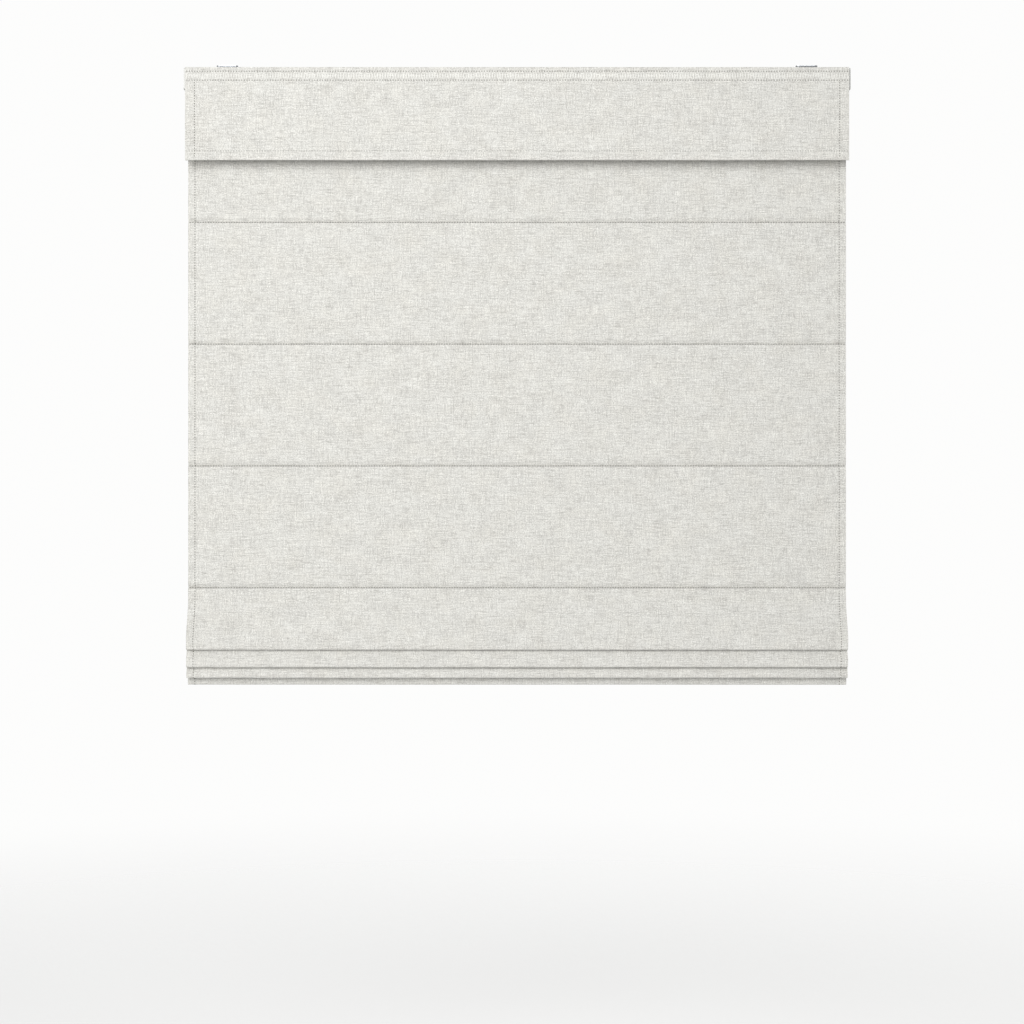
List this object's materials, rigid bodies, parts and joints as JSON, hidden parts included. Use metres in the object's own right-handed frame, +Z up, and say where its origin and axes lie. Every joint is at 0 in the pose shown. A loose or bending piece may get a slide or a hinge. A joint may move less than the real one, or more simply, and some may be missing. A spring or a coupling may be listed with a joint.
{
  "type": "roman blind",
  "caption": "Cordless flat-fold roman blind with valance: linen-look cloth on cross rods and lift cords, hung from a spring-motor headrail, drawn part way up.",
  "frame": {"origin": "middle of the four bracket screws, on the brackets' top faces, where they meet the window head", "axes": "+X along the headrail, -Y towards the room, +Z up"},
  "size_m": [0.92, 0.05, 0.8559],
  "materials": {
    "rail_white": "satin off-white powder coat",
    "cap_grey": "moulded, fine matt texture",
    "bracket_steel": "zinc plated",
    "spline_plastic": "extruded",
    "shade_linen": "linen-look plain weave with slubs, lined",
    "valance_linen": "linen-look plain weave with slubs",
    "hook_and_loop": "white hook and loop tape",
    "valance_board": "stiff foamed board",
    "outlet_plastic": "moulded white",
    "roller_acetal": "moulded natural",
    "pin_steel": "bright",
    "lift_cord": "braided white polyester",
    "motor_plastic": "moulded",
    "spring_steel": "blue-grey strip",
    "drum_acetal": "moulded natural",
    "rod_fibreglass": "pultruded, milky",
    "pocket_tape": "white lining tape",
    "guide_plastic": "milky moulding",
    "bar_aluminium": "mill finish"
  },
  "bodies": {
    "headrail_body": {"headrail": "rail_white", "end_cap_left": "cap_grey", "end_cap_right": "cap_grey", "bracket_left": "bracket_steel", "bracket_right": "bracket_steel", "top_spline": "spline_plastic", "shade_fabric": "shade_linen", "hook_tape": "hook_and_loop", "loop_tape": "hook_and_loop", "valance_board": "valance_board", "valance_cover": "valance_linen", "outlet_left": "outlet_plastic", "outlet_right": "outlet_plastic", "outlet_pins": "pin_steel", "lift_cord_left": "lift_cord", "lift_cord_right": "lift_cord", "motor_base": "motor_plastic", "motor_cover": "motor_plastic", "motor_screws": "pin_steel", "motor_pins": "pin_steel", "drive_spring": "spring_steel"},
    "rod_1_body": {"rod_1": "rod_fibreglass", "rod_pocket_1": "pocket_tape", "cord_guides_1": "guide_plastic"},
    "rod_2_body": {"rod_2": "rod_fibreglass", "rod_pocket_2": "pocket_tape", "cord_guides_2": "guide_plastic"},
    "rod_3_body": {"rod_3": "rod_fibreglass", "rod_pocket_3": "pocket_tape", "cord_guides_3": "guide_plastic"},
    "rod_4_body": {"rod_4": "rod_fibreglass", "rod_pocket_4": "pocket_tape", "cord_guides_4": "guide_plastic"},
    "rod_5_body": {"rod_5": "rod_fibreglass", "rod_pocket_5": "pocket_tape", "cord_guides_5": "guide_plastic"},
    "rod_6_body": {"rod_6": "rod_fibreglass", "rod_pocket_6": "pocket_tape", "cord_guides_6": "guide_plastic"},
    "rod_7_body": {"rod_7": "rod_fibreglass", "rod_pocket_7": "pocket_tape", "cord_guides_7": "guide_plastic", "cord_stops": "guide_plastic", "bottom_bar": "bar_aluminium", "bar_cap_left": "cap_grey", "bar_cap_right": "cap_grey"},
    "storage_drum_body": {"storage_drum": "drum_acetal"},
    "output_drum_body": {"output_drum": "drum_acetal"},
    "spool_left_body": {"spool_left": "drum_acetal"},
    "spool_right_body": {"spool_right": "drum_acetal"},
    "roller_left_body": {"outlet_roller_left": "roller_acetal"},
    "roller_right_body": {"outlet_roller_right": "roller_acetal"}
  },
  "joints": [
    {"name": "fold_1", "type": "slide", "parent": "headrail_body", "child": "rod_1_body", "axis": [0, 0.0197, 0.9998], "range_m": [0, 0.1715], "deforming": ["shade_fabric", "lift_cord_left", "lift_cord_right"]},
    {"name": "fold_2", "type": "slide", "parent": "rod_1_body", "child": "rod_2_body", "axis": [0, 0.0197, 0.9998], "range_m": [0, 0.1525], "deforming": ["shade_fabric", "lift_cord_left", "lift_cord_right"]},
    {"name": "fold_3", "type": "slide", "parent": "rod_2_body", "child": "rod_3_body", "axis": [0, 0.0197, 0.9998], "range_m": [0, 0.1525], "deforming": ["shade_fabric", "lift_cord_left", "lift_cord_right"]},
    {"name": "fold_4", "type": "slide", "parent": "rod_3_body", "child": "rod_4_body", "axis": [0, 0.0197, 0.9998], "range_m": [0, 0.1525], "deforming": ["shade_fabric", "lift_cord_left", "lift_cord_right"]},
    {"name": "fold_5", "type": "slide", "parent": "rod_4_body", "child": "rod_5_body", "axis": [0, 0.0197, 0.9998], "range_m": [-0.1525, 0], "deforming": ["shade_fabric", "lift_cord_left", "lift_cord_right"]},
    {"name": "fold_6", "type": "slide", "parent": "rod_5_body", "child": "rod_6_body", "axis": [0, 0.0197, 0.9998], "range_m": [-0.1525, 0], "deforming": ["shade_fabric", "lift_cord_left", "lift_cord_right"]},
    {"name": "fold_7", "type": "slide", "parent": "rod_6_body", "child": "rod_7_body", "axis": [0, 0.0197, 0.9998], "range_m": [-0.1525, 0], "deforming": ["shade_fabric", "lift_cord_left", "lift_cord_right"]},
    {"name": "output_drum_spin", "type": "hinge", "parent": "headrail_body", "child": "output_drum_body", "pos_m": [-0.017, 0, -0.02], "axis": [0, 0, 1], "range_deg": [-2090, 2880], "deforming": ["drive_spring"]},
    {"name": "storage_drum_spin", "type": "hinge", "parent": "headrail_body", "child": "storage_drum_body", "pos_m": [-0.051, 0, -0.02], "axis": [0, 0, 1], "range_deg": [-3259, 2365]},
    {"name": "spool_left_spin", "type": "hinge", "parent": "headrail_body", "child": "spool_left_body", "pos_m": [0.017, 0, -0.02], "axis": [0, 0, 1], "range_deg": [-2881, 2091]},
    {"name": "spool_right_spin", "type": "hinge", "parent": "headrail_body", "child": "spool_right_body", "pos_m": [0.051, 0, -0.02], "axis": [0, 0, 1], "range_deg": [-2091, 2881]},
    {"name": "roller_left_spin", "type": "hinge", "parent": "headrail_body", "child": "roller_left_body", "pos_m": [-0.275, 0.0075, -0.023], "axis": [0, 1, 0], "range_deg": [-5226, 7201]},
    {"name": "roller_right_spin", "type": "hinge", "parent": "headrail_body", "child": "roller_right_body", "pos_m": [0.275, 0.0075, -0.023], "axis": [0, 1, 0], "range_deg": [-7201, 5226]}
  ],
  "couplings": [
    {"joint": "storage_drum_spin", "follows": "output_drum_spin", "ratio": -1.131},
    {"joint": "spool_left_spin", "follows": "output_drum_spin", "ratio": -1},
    {"joint": "spool_right_spin", "follows": "output_drum_spin", "ratio": 1},
    {"joint": "roller_left_spin", "follows": "output_drum_spin", "ratio": 2.5},
    {"joint": "roller_right_spin", "follows": "output_drum_spin", "ratio": -2.5}
  ]
}
